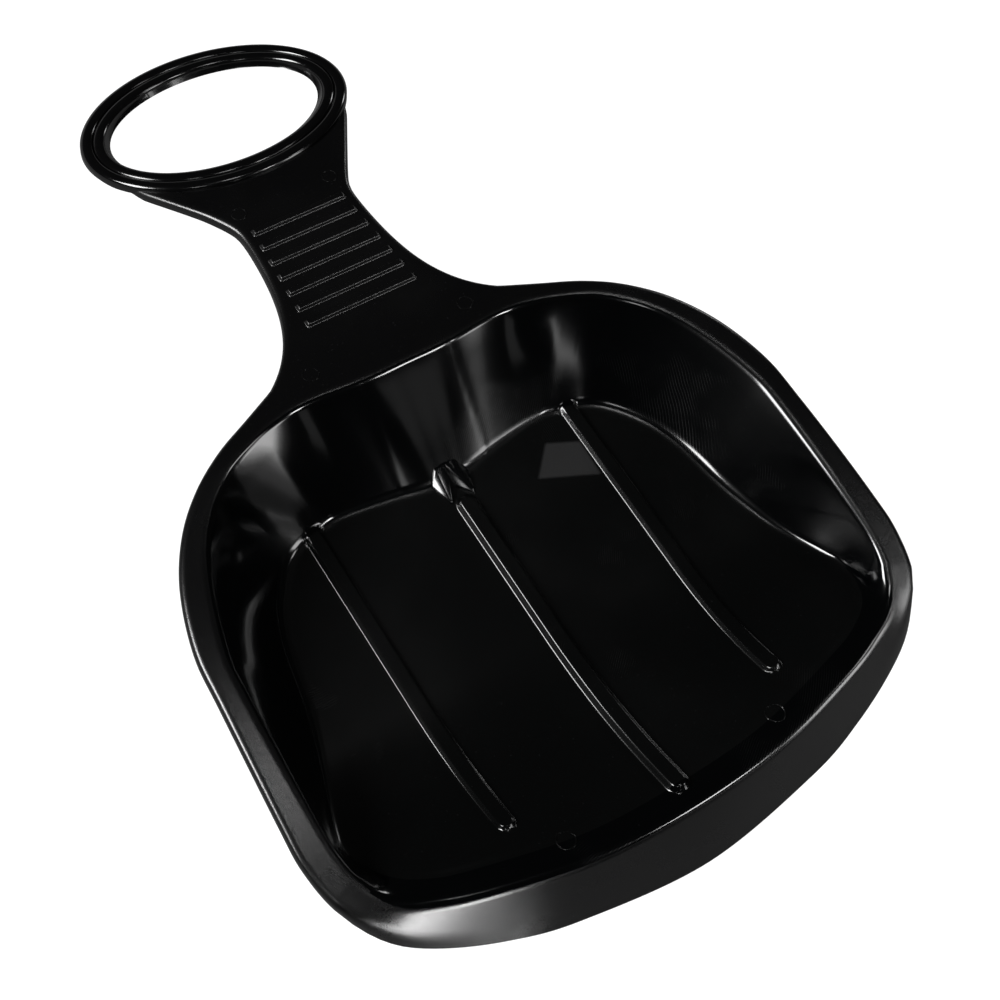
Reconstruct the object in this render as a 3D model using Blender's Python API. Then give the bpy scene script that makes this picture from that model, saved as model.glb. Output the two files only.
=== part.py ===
"""Bum slider: a one-piece moulded snow seat with a raised rim, a neck with grip bars and an oval hand ring.

Units are metres. +Z is up and +Y points from the seat to the hand ring. The origin is under the middle of
the whole length, on the surface that the flat floor rests on. The real moulding is one piece. Here it is cut
into four plain regions (dish, rim, neck and ring) that meet with a narrow seam, so each can be read alone.
"""

import math

import bmesh
import bpy
import numpy as np
from mathutils import Vector

# Overall size
LENGTH = 0.4706
SEAT_WIDTH = 0.2934
SEAT_LENGTH = 0.2599
RIM_HEIGHT = 0.0448
WALL = 0.003
SEAM_GAP = 0.0004

# Rim: its top runs in a flat arch, highest near the front of the thighs
RIM_PEAK_SHARE = 0.752
REAR_RIM_HEIGHT = 0.0343
REAR_RIM_SHARE = 0.282
LIP = 0.005
LIP_ROUND = 0.0031
RIM_ROUND = 0.003
SHOULDER = 0.0038
SEAM_STRIP = 0.0006

# Rear: the floor climbs to a rounded crest and falls outside it as a steep skirt
CREST_HEIGHT = 0.0273
CREST_BLEND = 0.004
SKIRT_DROP = 0.0154
SKIRT_START_SHARE = 0.221
SKIRT_END_SHARE = 0.051

# Floor: level in front, rising to the rear and dished across
FLOOR_RISE = 0.0215
RISE_START_SHARE = 0.451
RISE_FULL_SHARE = 0.117
RISE_POWER = 2.2
DISH = 0.38
FOOT_ROUND = 0.004

# Ribs on the floor, hollow underneath with the same wall
SIDE_RIB_AT = 0.067
SIDE_RIB_BASE = 0.0087
SIDE_RIB_TOP = 0.0055
SIDE_RIB_HEIGHT = 0.0024
SIDE_RIB_FRONT_SHARE = 0.790
SIDE_RIB_REAR_SHARE = 0.190
CENTRE_RIB_BASE = 0.0106
CENTRE_RIB_TOP = 0.006
CENTRE_RIB_HEIGHT = 0.0032
CENTRE_RIB_FRONT_SHARE = 0.736
CENTRE_RIB_REAR_SHARE = 0.101
RIB_SINK = 0.001
RIB_ROWS = 18

# Gate boss: a small fan-shaped wedge where the centre rib meets the front wall
BOSS_WIDTH = 0.019
BOSS_TIP_WIDTH = 0.012
BOSS_LENGTH = 0.0115
BOSS_HEIGHT = 0.0022

# Neck
NECK_WIDTH = 0.055
NECK_ROOT_WIDTH = 0.1165
NECK_CURVE = 0.0235
NECK_END_HEIGHT = 0.0347
NECK_DROP = 0.0035
NECK_DROP_START_SHARE = 0.9
NECK_DROP_END_SHARE = 1.03
NECK_END_WIDTH = 0.0574
NECK_END_BEHIND_RING = 0.0257
RING_STEP = 0.0026
STEP_BLEND = 0.001
WEB_BLEND = 0.003
WEB_FADE = 0.012
WEB_SHARE = 0.78
NECK_ROWS = 26
SEAM_OVERRUN = 0.009

# Grip bars across the neck
BAR_COUNT = 7
BAR_PITCH = 0.0093
BAR_WIDTH = 0.0033
BAR_TOP_WIDTH = 0.0021
BAR_HEIGHT = 0.0013
FRONT_BAR_SHARE = 0.83
REAR_BAR_SHARE = 0.97
BARS_BEHIND_RING = 0.0309

# Hand ring: two rounded beads side by side on a flat underside. Heights are taken at the crown of the beads
RING_WIDTH = 0.1341
RING_LENGTH = 0.1015
HOLE_WIDTH = 0.106
HOLE_LENGTH = 0.07
HOLE_DRAFT = 0.0018
BEAD_RISE = 0.0028
VALLEY_DEPTH = 0.0018
RING_TIP_HEIGHT = 0.0051
RING_REAR_HEIGHT = 0.0334
RING_EDGE_DEPTH = 0.0047
RING_GRIP_DEPTH = 0.005
BEAD_STEPS = 6
RING_STEPS = 64

# Outlines of the right half, from the rear centre line to the front one. Each point is a share of half the
# seat's width and a share of the seat's length from its rear edge.
SEAT_EDGE_SHARES = (
    (0.0, 0.0),
    (0.402, 0.027),
    (0.611, 0.0595),
    (0.783, 0.1015),
    (0.891, 0.144),
    (0.969, 0.207),
    (1.0, 0.282),
    (1.0, 0.359),
    (0.984, 0.553),
    (0.972, 0.646),
    (0.921, 0.745),
    (0.845, 0.823),
    (0.75, 0.882),
    (0.629, 0.932),
    (0.507, 0.968),
)
RIM_EDGE_SHARES = (
    (0.0, 0.07),
    (0.307, 0.08),
    (0.607, 0.118),
    (0.75, 0.147),
    (0.825, 0.171),
    (0.873, 0.209),
    (0.903, 0.271),
    (0.91, 0.378),
    (0.907, 0.559),
    (0.893, 0.636),
    (0.828, 0.752),
    (0.75, 0.829),
    (0.641, 0.888),
    (0.525, 0.922),
    (0.409, 0.942),
    (0.307, 0.946),
    (0.146, 0.938),
    (0.0, 0.938),
)
FLOOR_EDGE_SHARES = (
    (0.0, 0.113),
    (0.307, 0.122),
    (0.627, 0.163),
    (0.736, 0.186),
    (0.804, 0.213),
    (0.849, 0.252),
    (0.866, 0.297),
    (0.852, 0.336),
    (0.777, 0.455),
    (0.733, 0.54),
    (0.697, 0.643),
    (0.641, 0.715),
    (0.539, 0.779),
    (0.409, 0.802),
    (0.341, 0.804),
    (0.191, 0.792),
    (0.071, 0.779),
    (0.0, 0.779),
)
FLOOR_LOOP_SHARES = (0.25, 0.5, 0.7, 0.83, 0.92, 1.0)
HALF_STATIONS = 56
CURVE_STEPS = 12
CUTTER_SPARE = 0.02

# Sizes that follow from the ones above
HALF_WIDTH = SEAT_WIDTH / 2
REAR = -LENGTH / 2
NECK_START = REAR + SEAT_LENGTH
BAND = (RING_WIDTH - HOLE_WIDTH) / 2
RING_CENTRE = LENGTH / 2 - RING_LENGTH / 2
RING_REAR = LENGTH / 2 - RING_LENGTH
NECK_END = RING_REAR - NECK_END_BEHIND_RING
MIDDLE = REAR + SEAT_LENGTH / 2


def along(share):
    """The place on the length that is this share of the seat's length from its rear edge."""
    return REAR + share * SEAT_LENGTH


def smooth_step(value):
    """Rises from 0 to 1 with level ends."""
    value = min(max(value, 0.0), 1.0)
    return value * value * (3 - 2 * value)


def smooth_min(first, second, blend):
    """The lower of two heights, with a rounded change from one to the other."""
    return (first + second - math.hypot(first - second, blend)) / 2


def arch(y):
    """Height of the rim's and the neck's top surface: it rises from the rear, stays level along the thighs, drops
    a little at the root of the neck and then slopes evenly."""
    peak = along(RIM_PEAK_SHARE)
    if y < peak:
        return RIM_HEIGHT - (RIM_HEIGHT - REAR_RIM_HEIGHT) * ((y - peak) / (along(REAR_RIM_SHARE) - peak)) ** 2
    start = along(NECK_DROP_START_SHARE)
    drop = NECK_DROP * smooth_step((y - start) / (along(NECK_DROP_END_SHARE) - start))
    slope = (RIM_HEIGHT - NECK_DROP - NECK_END_HEIGHT) / (NECK_END - start)
    return RIM_HEIGHT - drop - slope * max(y - start, 0.0)


def rearness(y):
    """0 along the flat side rim and 1 along the skirt behind the crest."""
    return smooth_step((along(SKIRT_START_SHARE) - y) / (along(SKIRT_START_SHARE) - along(SKIRT_END_SHARE)))


def outer_height(y):
    """Height of the moulding's outer edge."""
    return arch(y) - SKIRT_DROP * rearness(y)


def inner_height(y):
    """Height of the rim's inner edge, which is the crest at the rear."""
    return -smooth_min(-arch(y), -CREST_HEIGHT, SEAM_GAP)


def floor_height(x, y):
    """Height of the floor's upper surface."""
    climb = max(along(RISE_START_SHARE) - y, 0.0) / (along(RISE_START_SHARE) - along(RISE_FULL_SHARE))
    rise = FLOOR_RISE * climb**RISE_POWER * (1 + DISH * (x / SIDE_RIB_AT) ** 2)
    if rise == 0.0:
        return WALL
    return smooth_min(WALL + rise, CREST_HEIGHT, CREST_BLEND * min(rise / CREST_BLEND, 1.0))


def ring_height(y):
    """Height of the crown of the ring's beads."""
    share = (y - RING_REAR) / RING_LENGTH
    return RING_REAR_HEIGHT + share * (RING_TIP_HEIGHT - RING_REAR_HEIGHT)


def neck_height(y):
    """Height of the neck's top surface, which runs on below the ring's crown."""
    return smooth_min(arch(y), ring_height(y) - RING_STEP, STEP_BLEND)


def web_end():
    """Where the straight edges of the neck's web touch the ring's outer ellipse: tangents from the neck."""
    half_width = RING_WIDTH / 2
    half_length = RING_LENGTH / 2
    start = Vector((NECK_END_WIDTH / 2 / half_width, (NECK_END - RING_CENTRE) / half_length))
    turn = math.atan2(start.y, start.x) + math.acos(1 / start.length)
    return half_width * math.cos(turn), RING_CENTRE + half_length * math.sin(turn)


def ring_edge_depth(y):
    """How far the ring's outer side goes down: deepest where it meets the underside of the neck's web."""
    web = smooth_step((web_end()[1] + WEB_FADE - y) / WEB_FADE)
    return RING_EDGE_DEPTH + web * (RING_STEP + WALL - RING_EDGE_DEPTH)


def neck_edge(y):
    """Half width of the neck: a curve that narrows from the seat, then the straight web towards the ring."""
    narrow = NECK_WIDTH / 2
    narrow += (NECK_ROOT_WIDTH - NECK_WIDTH) / 2 * math.exp((NECK_START - y) / NECK_CURVE)
    touch_x, touch_y = web_end()
    slope = (touch_x - NECK_END_WIDTH / 2) / (touch_y - NECK_END)
    web = NECK_END_WIDTH / 2 + slope * (y - NECK_END)
    return -smooth_min(-narrow, -web, WEB_BLEND)


def smooth_curve(points):
    """A smooth curve through points of the right half. It crosses the centre line squarely."""
    points = [Vector(point) for point in points]
    before = Vector((-points[1].x, points[1].y))
    after = 2 * points[-1] - points[-2]
    if points[-1].x == 0:
        after = Vector((-points[-2].x, points[-2].y))
    points = [before, *points, after]
    curve = []
    for first, second, third, fourth in zip(points, points[1:], points[2:], points[3:]):
        for step in range(CURVE_STEPS):
            t = step / CURVE_STEPS
            bend = (2 * first - 5 * second + 4 * third - fourth) * t * t
            twist = (3 * second - first - 3 * third + fourth) * t**3
            curve.append((2 * second + (third - first) * t + bend + twist) / 2)
    curve.append(points[-2])
    return curve


def placed(shares):
    """The curve through an outline's points, in metres."""
    return smooth_curve([(x * HALF_WIDTH, along(y)) for x, y in shares])


def around(half):
    """The closed loop of a half outline and its mirror image, read at evenly spaced headings."""
    headings = [math.atan2(point.x, MIDDLE - point.y) for point in half]
    stations = np.linspace(0, math.pi, HALF_STATIONS + 1)
    xs = np.interp(stations, headings, [point.x for point in half])
    ys = np.interp(stations, headings, [point.y for point in half])
    right = [(float(x), float(y)) for x, y in zip(xs, ys)]
    left = [(-x, y) for x, y in right[-2:0:-1]]
    return right + left


def seat_outline():
    """The outer edge of the seat, run on along the neck and closed straight across it."""
    half = placed(SEAT_EDGE_SHARES)
    for step in range(CURVE_STEPS + 1):
        y = NECK_START + 2 * SEAM_OVERRUN * step / CURVE_STEPS
        half.append(Vector((neck_edge(y), y)))
    half.append(Vector((0, half[-1].y)))
    return around(half)


def rim_loops():
    """The rim's inner edge, its outer edge, and the direction across the rim from one to the other."""
    inner = [Vector((x, y, inner_height(y))) for x, y in around(placed(RIM_EDGE_SHARES))]
    outer = [Vector((x, y, outer_height(y))) for x, y in seat_outline()]
    across = [(end - start).normalized() for start, end in zip(inner, outer)]
    return inner, outer, across


def rounded(before, corner, after, reach):
    """Three points that round a corner, from this far before it to this far after it."""
    start = corner + (before - corner).normalized() * reach
    end = corner + (after - corner).normalized() * reach
    return [start, (start + 2 * corner + end) / 4, end]


def turned_edge(edge, before, after, across, level):
    """The rounded corner and the lip at one place on an outer edge. A level of 1 keeps the surface straight."""
    tangent = (after - before).normalized()
    outward = (across - across.dot(tangent) * tangent).normalized()
    down = (outward * level + Vector((0, 0, -1)) * (1 - level)).normalized()
    corner = edge - outward * LIP * level
    bottom = corner + down * LIP
    return [*rounded(corner - outward, corner, bottom, LIP_ROUND), bottom]


def clear_scene():
    for obj in list(bpy.data.objects):
        bpy.data.objects.remove(obj, do_unlink=True)


def plastic(name, colour, roughness):
    """A dyed plastic with the given colour and roughness."""
    material = bpy.data.materials.new(name)
    material.use_nodes = True
    shader = material.node_tree.nodes["Principled BSDF"]
    shader.inputs["Base Color"].default_value = (*colour, 1)
    shader.inputs["Roughness"].default_value = roughness
    shader.inputs["Metallic"].default_value = 0
    material.diffuse_color = (*colour, 1)
    return material


def object_of(name, bm, material=None):
    """A scene object that holds this mesh. One with no material is a helper for a Boolean."""
    bmesh.ops.recalc_face_normals(bm, faces=bm.faces)
    mesh = bpy.data.meshes.new(name)
    bm.to_mesh(mesh)
    bm.free()
    obj = bpy.data.objects.new(name, mesh)
    bpy.context.scene.collection.objects.link(obj)
    if material:
        mesh.materials.append(material)
        mesh.shade_smooth()
        mesh.set_sharp_from_angle(angle=math.radians(35))
    else:
        obj.hide_render = True
        obj.display_type = "WIRE"
    return obj


def face_up(bm):
    """Turns the faces of an open skin so that the outside is the upper side."""
    bmesh.ops.recalc_face_normals(bm, faces=bm.faces)
    bm.faces.ensure_lookup_table()
    if sum(face.normal.z * face.calc_area() for face in bm.faces) < 0:
        bmesh.ops.reverse_faces(bm, faces=bm.faces)


def skin_object(name, bm, material):
    """An open skin, thickened inwards by the wall."""
    face_up(bm)
    mesh = bpy.data.meshes.new(name)
    bm.to_mesh(mesh)
    bm.free()
    mesh.materials.append(material)
    mesh.shade_smooth()
    mesh.set_sharp_from_angle(angle=math.radians(35))
    obj = bpy.data.objects.new(name, mesh)
    bpy.context.scene.collection.objects.link(obj)
    solid = obj.modifiers.new("wall", "SOLIDIFY")
    solid.thickness = WALL
    solid.offset = -1
    solid.use_even_offset = True
    return obj


def combine(obj, operation, *others):
    """Joins the other solids to an object or cuts them from it."""
    for other in others:
        boolean = obj.modifiers.new(other.name, "BOOLEAN")
        boolean.operation = operation
        boolean.solver = "EXACT"
        boolean.object = other


def bridge(bm, rows, closed):
    """Faces between each two neighbouring rows of points. Returns the rows of vertices."""
    rows = [[bm.verts.new(point) for point in row] for row in rows]
    for low, high in zip(rows, rows[1:]):
        count = len(low)
        for i in range(count if closed else count - 1):
            j = (i + 1) % count
            bm.faces.new((low[i], low[j], high[j], high[i]))
    return rows


def loft(name, sections):
    """A closed solid through a row of closed sections, capped at both ends."""
    bm = bmesh.new()
    rows = bridge(bm, sections, closed=True)
    bm.faces.new(rows[0])
    bm.faces.new(rows[-1])
    return object_of(name, bm)


def block(name, low, high):
    """A box between two corners, used as a cutter."""
    bm = bmesh.new()
    bmesh.ops.create_cube(bm, size=1)
    middle = (Vector(low) + Vector(high)) / 2
    size = Vector(high) - Vector(low)
    for vert in bm.verts:
        vert.co = middle + Vector(a * b for a, b in zip(vert.co, size))
    return object_of(name, bm)


def rib_sections(at_x, front, rear, base, top, bottom, crown):
    """Sections of a rib with tapered sides, from its front to its half-round rear end."""
    sections = []
    steps = [front + (rear + base / 2 - front) * i / RIB_ROWS for i in range(RIB_ROWS + 1)]
    steps += [rear + base / 2 * (1 - math.sin(turn)) for turn in (0.5, 1.0, 1.35)]
    for y in steps:
        reach = max(rear + base / 2 - y, 0.0) / (base / 2)
        share = math.sqrt(1 - reach * reach)
        foot = floor_height(at_x, y) + bottom
        head = floor_height(at_x, y) + crown
        wide = share * base / 2
        narrow = share * top / 2
        sections.append(
            [
                Vector((at_x - wide, y, foot)),
                Vector((at_x + wide, y, foot)),
                Vector((at_x + narrow, y, head)),
                Vector((at_x - narrow, y, head)),
            ]
        )
    return sections


def rib_and_groove(name, at_x, front, rear, base, top, height):
    """A raised rib, and the groove under it that keeps the wall's thickness."""
    flank = math.atan2(height, (base - top) / 2)
    inset = WALL * math.tan(flank / 2)
    spread = (RIB_SINK / height) * (base - top)
    rib = rib_sections(at_x, front, rear, base + spread, top, -RIB_SINK, height)
    groove = rib_sections(
        at_x,
        front,
        rear + inset,
        base - 2 * inset + spread,
        top - 2 * inset,
        -WALL - RIB_SINK,
        height - WALL,
    )
    return loft(f"{name}_solid", rib), loft(f"{name}_groove", groove)


def gate_boss():
    """The fan-shaped wedge at the front wall's foot."""
    back = along(FLOOR_EDGE_SHARES[-1][1]) + BOSS_HEIGHT
    front = back - BOSS_LENGTH
    sections = []
    for y, width, height in ((back, BOSS_WIDTH, BOSS_HEIGHT), (front, BOSS_TIP_WIDTH, BOSS_HEIGHT / 2)):
        low = WALL - RIB_SINK
        high = WALL + height
        sections.append(
            [
                Vector((-width / 2, y, low)),
                Vector((width / 2, y, low)),
                Vector((width / 2, y, high)),
                Vector((-width / 2, y, high)),
            ]
        )
    return loft("gate_boss", sections)


def make_seat_pan(material):
    """The dish: floor, walls and the first millimetres of the rim, with ribs and the gate boss."""
    inner, outer, across = rim_loops()
    columns = []
    for (foot_x, foot_y), rim, way in zip(around(placed(FLOOR_EDGE_SHARES)), inner, across):
        column = []
        for share in FLOOR_LOOP_SHARES:
            x = share * foot_x
            y = MIDDLE + share * (foot_y - MIDDLE)
            column.append(Vector((x, y, floor_height(x, y))))
        foot = column.pop()
        shoulder = rim + SHOULDER * way
        column += rounded(column[-1], foot, rim, FOOT_ROUND)
        column += rounded(foot, rim, shoulder, RIM_ROUND)
        columns.append([*column, shoulder])
    bm = bmesh.new()
    loops = bridge(bm, list(zip(*columns)), closed=True)
    centre = bm.verts.new((0, MIDDLE, floor_height(0, MIDDLE)))
    for first, second in zip(loops[0], loops[0][1:] + loops[0][:1]):
        bm.faces.new((centre, first, second))
    pan = skin_object("seat_pan", bm, material)
    solids = [gate_boss()]
    grooves = []
    for name, at_x in (("left_rib", -SIDE_RIB_AT), ("right_rib", SIDE_RIB_AT)):
        rib, groove = rib_and_groove(
            name,
            at_x,
            along(SIDE_RIB_FRONT_SHARE),
            along(SIDE_RIB_REAR_SHARE),
            SIDE_RIB_BASE,
            SIDE_RIB_TOP,
            SIDE_RIB_HEIGHT,
        )
        solids.append(rib)
        grooves.append(groove)
    rib, groove = rib_and_groove(
        "centre_rib",
        0,
        along(CENTRE_RIB_FRONT_SHARE),
        along(CENTRE_RIB_REAR_SHARE),
        CENTRE_RIB_BASE,
        CENTRE_RIB_TOP,
        CENTRE_RIB_HEIGHT,
    )
    solids.append(rib)
    grooves.append(groove)
    combine(pan, "UNION", *solids)
    combine(pan, "DIFFERENCE", *grooves)
    return pan


def make_rim_flange(material):
    """The rim outside the dish: a level flange with a turned-down lip, and the skirt at the rear."""
    inner, outer, across = rim_loops()
    columns = []
    for i, edge in enumerate(outer):
        before = outer[i - 1]
        after = outer[(i + 1) % len(outer)]
        level = rearness(edge.y)
        if edge.y > NECK_START + 2 * SEAM_OVERRUN - SEAM_GAP:
            level = 1.0
        start = inner[i] + (SHOULDER + SEAM_GAP) * across[i]
        strip = start + SEAM_STRIP * across[i]
        columns.append([start, strip, *turned_edge(edge, before, after, across[i], level)])
    bm = bmesh.new()
    bridge(bm, list(zip(*columns)), closed=True)
    rim = skin_object("rim_flange", bm, material)
    cutter = block(
        "rim_cutter",
        (-SEAT_WIDTH, NECK_START, -CUTTER_SPARE),
        (SEAT_WIDTH, NECK_START + SEAT_LENGTH, RIM_HEIGHT + CUTTER_SPARE),
    )
    combine(rim, "DIFFERENCE", cutter)
    return rim


def grip_bar(number):
    """One bar across the neck, with tapered sides and ends."""
    share = number / (BAR_COUNT - 1)
    y = RING_REAR - BARS_BEHIND_RING - number * BAR_PITCH
    length = NECK_END_WIDTH * (FRONT_BAR_SHARE + share * (REAR_BAR_SHARE - FRONT_BAR_SHARE))
    taper = (BAR_WIDTH - BAR_TOP_WIDTH) / 2
    sections = []
    for height, shrink in ((-RIB_SINK, 0.0), (BAR_HEIGHT, taper)):
        half = length / 2 - shrink
        back = y - BAR_WIDTH / 2 + shrink
        front = y + BAR_WIDTH / 2 - shrink
        sections.append(
            [
                Vector((-half, back, neck_height(back) + height)),
                Vector((half, back, neck_height(back) + height)),
                Vector((half, front, neck_height(front) + height)),
                Vector((-half, front, neck_height(front) + height)),
            ]
        )
    return loft(f"grip_bar_{number + 1}", sections)


def ring_point(turn, share):
    """A point of the ring's plan, at this share of the way from the edge of its hole to its outer edge."""
    half_width = (HOLE_WIDTH + share * (RING_WIDTH - HOLE_WIDTH)) / 2
    half_length = (HOLE_LENGTH + share * (RING_LENGTH - HOLE_LENGTH)) / 2
    return half_width * math.cos(turn), RING_CENTRE + half_length * math.sin(turn)


def make_neck_plate(material):
    """The neck and its web up to the ring, with turned-down edges and grip bars."""
    touch = web_end()[1]
    start = NECK_START - SEAM_OVERRUN
    end = NECK_END + WEB_SHARE * (touch - NECK_END)
    spots = [start + (end - start) * i / NECK_ROWS for i in range(NECK_ROWS + 1)]
    spots = [NECK_END if abs(y - NECK_END) < (end - start) / NECK_ROWS / 2 else y for y in spots]
    edges = [Vector((neck_edge(y), y, neck_height(y))) for y in spots]
    rows = []
    for i, edge in enumerate(edges):
        before = edges[max(i - 1, 0)]
        after = edges[min(i + 1, len(edges) - 1)]
        right = turned_edge(edge, before, after, Vector((1, 0, 0)), 0.0)
        left = [Vector((-point.x, point.y, point.z)) for point in reversed(right)]
        rows.append([*left, Vector((0, edge.y, edge.z)), *right])
    bm = bmesh.new()
    bridge(bm, rows, closed=False)
    neck = skin_object("neck_plate", bm, material)
    clear = 1 + SEAM_GAP / BAND
    outline = [ring_point(2 * math.pi * i / RING_STEPS, clear) for i in range(RING_STEPS)]
    opening = loft(
        "ring_cutter",
        [[Vector((x, y, z)) for x, y in outline] for z in (-CUTTER_SPARE, RIM_HEIGHT + CUTTER_SPARE)],
    )
    seam = block(
        "neck_cutter",
        (-SEAT_WIDTH, REAR, -CUTTER_SPARE),
        (SEAT_WIDTH, NECK_START + SEAM_GAP, RIM_HEIGHT + CUTTER_SPARE),
    )
    combine(neck, "UNION", *[grip_bar(number) for number in range(BAR_COUNT)])
    combine(neck, "DIFFERENCE", opening, seam)
    return neck


def ring_section(turn):
    """The ring's section at one place: a drafted side round the hole, two beads and a low outer side."""
    bead = (BAND - HOLE_DRAFT) / 4
    section = [(0, RING_GRIP_DEPTH)]
    for centre, first, last in (
        (HOLE_DRAFT + bead, BEAD_RISE, VALLEY_DEPTH),
        (HOLE_DRAFT + 3 * bead, VALLEY_DEPTH, BEAD_RISE),
    ):
        for step in range(BEAD_STEPS + 1):
            angle = math.pi * step / BEAD_STEPS
            rise = first if 2 * step < BEAD_STEPS else last
            section.append((centre - bead * math.cos(angle), rise * (1 - math.sin(angle))))
    del section[BEAD_STEPS + 1]
    section.append((BAND, ring_edge_depth(ring_point(turn, 1)[1])))
    points = []
    for out, down in section:
        x, y = ring_point(turn, out / BAND)
        points.append(Vector((x, y, ring_height(y) - down)))
    return points


def make_handle_ring(material):
    """The oval hand ring, which slopes down to its tip."""
    bm = bmesh.new()
    sections = [ring_section(2 * math.pi * i / RING_STEPS) for i in range(RING_STEPS)]
    bridge(bm, [*zip(*sections), tuple(section[0] for section in sections)], closed=True)
    bmesh.ops.remove_doubles(bm, verts=bm.verts, dist=SEAM_GAP / 100)
    return object_of("handle_ring", bm, material)


clear_scene()
make_seat_pan(plastic("dish_plastic", (0.010, 0.010, 0.012), 0.18))
make_rim_flange(plastic("rim_plastic", (0.014, 0.014, 0.016), 0.32))
make_neck_plate(plastic("neck_plastic", (0.016, 0.016, 0.018), 0.42))
make_handle_ring(plastic("ring_plastic", (0.009, 0.009, 0.010), 0.15))
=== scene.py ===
# %% [markdown]
# # A bum slider, moulded in one piece
# A bum slider is a small snow seat: a dished pan to sit in, a turned rim, a flat neck with grip bars and an
# oval hand ring. The real one is a single injection moulding in black plastic. This lesson dresses a packed
# model of it. The shape comes first, as one continuous skin, then the finishes, then the light.

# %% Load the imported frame
import math

import bmesh
import bpy
import numpy as np
from mathutils import Matrix, Vector


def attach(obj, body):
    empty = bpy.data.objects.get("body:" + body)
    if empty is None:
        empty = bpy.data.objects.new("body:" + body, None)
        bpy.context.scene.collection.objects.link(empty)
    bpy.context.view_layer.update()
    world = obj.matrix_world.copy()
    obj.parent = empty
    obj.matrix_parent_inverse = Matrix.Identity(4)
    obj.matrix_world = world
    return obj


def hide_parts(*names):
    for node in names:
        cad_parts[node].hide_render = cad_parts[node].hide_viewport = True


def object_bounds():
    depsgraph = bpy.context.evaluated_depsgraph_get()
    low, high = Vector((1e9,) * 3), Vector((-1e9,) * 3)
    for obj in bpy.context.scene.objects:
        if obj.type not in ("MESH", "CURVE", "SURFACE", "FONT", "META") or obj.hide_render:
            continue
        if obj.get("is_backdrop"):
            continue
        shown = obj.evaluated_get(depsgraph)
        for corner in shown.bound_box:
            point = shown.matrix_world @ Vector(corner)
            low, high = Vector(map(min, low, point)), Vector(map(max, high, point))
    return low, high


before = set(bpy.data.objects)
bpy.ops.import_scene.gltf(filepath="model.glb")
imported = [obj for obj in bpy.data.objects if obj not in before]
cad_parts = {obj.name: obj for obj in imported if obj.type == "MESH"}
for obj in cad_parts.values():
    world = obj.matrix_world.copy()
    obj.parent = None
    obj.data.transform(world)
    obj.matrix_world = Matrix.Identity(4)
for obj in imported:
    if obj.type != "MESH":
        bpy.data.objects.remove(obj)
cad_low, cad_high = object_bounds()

print("frame box", [round(v, 4) for v in cad_low], [round(v, 4) for v in cad_high])

# %% [markdown]
# ## The sizes
# A maker starts from the few sizes that decide everything else. The seat's outline, the rim's inner edge and
# the foot of the wall are each drawn as the right half of a smooth curve. Every point is a share of half the
# seat's width, and a share of its length from the rear edge.

# %% Sizes in metres
WALL = 0.003
HALF_WIDTH = 0.14666
SEAT_LENGTH = 0.2599
REAR = cad_low.y
TIP = cad_high.y
RIM_TOP = 0.04479
NECK_START = REAR + SEAT_LENGTH
MIDDLE = REAR + SEAT_LENGTH / 2

SEAT_EDGE = (
    (0.0, 0.0), (0.402, 0.027), (0.611, 0.0595), (0.783, 0.1015), (0.891, 0.144), (0.969, 0.207),
    (1.0, 0.282), (1.0, 0.359), (0.984, 0.553), (0.972, 0.646), (0.921, 0.745), (0.845, 0.823),
    (0.75, 0.882), (0.629, 0.932), (0.507, 0.968),
)
RIM_EDGE = (
    (0.0, 0.07), (0.307, 0.08), (0.607, 0.118), (0.75, 0.147), (0.825, 0.171), (0.873, 0.209),
    (0.903, 0.271), (0.91, 0.378), (0.907, 0.559), (0.893, 0.636), (0.828, 0.752), (0.75, 0.829),
    (0.641, 0.888), (0.525, 0.922), (0.409, 0.942), (0.307, 0.946), (0.146, 0.938), (0.0, 0.938),
)
FOOT_EDGE = (
    (0.0, 0.113), (0.307, 0.122), (0.627, 0.163), (0.736, 0.186), (0.804, 0.213), (0.849, 0.252),
    (0.866, 0.297), (0.852, 0.336), (0.777, 0.455), (0.733, 0.54), (0.697, 0.643), (0.641, 0.715),
    (0.539, 0.779), (0.409, 0.802), (0.341, 0.804), (0.191, 0.792), (0.071, 0.779), (0.0, 0.779),
)
CURVE_STEPS = 16


def along(share):
    """The place on the length that is this share of the seat's length from its rear edge."""
    return REAR + share * SEAT_LENGTH


def smooth_curve(points):
    """A smooth curve through the points of a right half, which crosses the centre line squarely."""
    points = [Vector(point) for point in points]
    before = Vector((-points[1].x, points[1].y))
    after = 2 * points[-1] - points[-2]
    if points[-1].x == 0:
        after = Vector((-points[-2].x, points[-2].y))
    points = [before, *points, after]
    curve = []
    for a, b, c, d in zip(points, points[1:], points[2:], points[3:]):
        for step in range(CURVE_STEPS):
            t = step / CURVE_STEPS
            bend = (2 * a - 5 * b + 4 * c - d) * t * t
            twist = (3 * b - a - 3 * c + d) * t**3
            curve.append((2 * b + (c - a) * t + bend + twist) / 2)
    curve.append(points[-2])
    return curve


def placed(shares):
    """The curve through an outline's points, in metres."""
    return smooth_curve([(x * HALF_WIDTH, along(y)) for x, y in shares])


foot_curve = placed(FOOT_EDGE)
rim_curve = placed(RIM_EDGE)
print("foot of the wall:", len(foot_curve), "points on its right half")

# %% [markdown]
# ## The heights
# The top of the rim runs in a long flat arch. It drops a little at the root of the neck and then slopes down
# to the hand ring. The floor is level in front and climbs to a crest at the rear, behind which the skirt
# falls away. The flat side rim twists into that skirt. Each height is a small formula, so that every later
# step can ask for it at any place.

# %% Height formulas
def smooth_step(value):
    """Rises from 0 to 1 with level ends."""
    value = min(max(value, 0.0), 1.0)
    return value * value * (3 - 2 * value)


def smooth_min(first, second, blend):
    """The lower of two heights, with a rounded change from one to the other."""
    return (first + second - math.hypot(first - second, blend)) / 2


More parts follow.
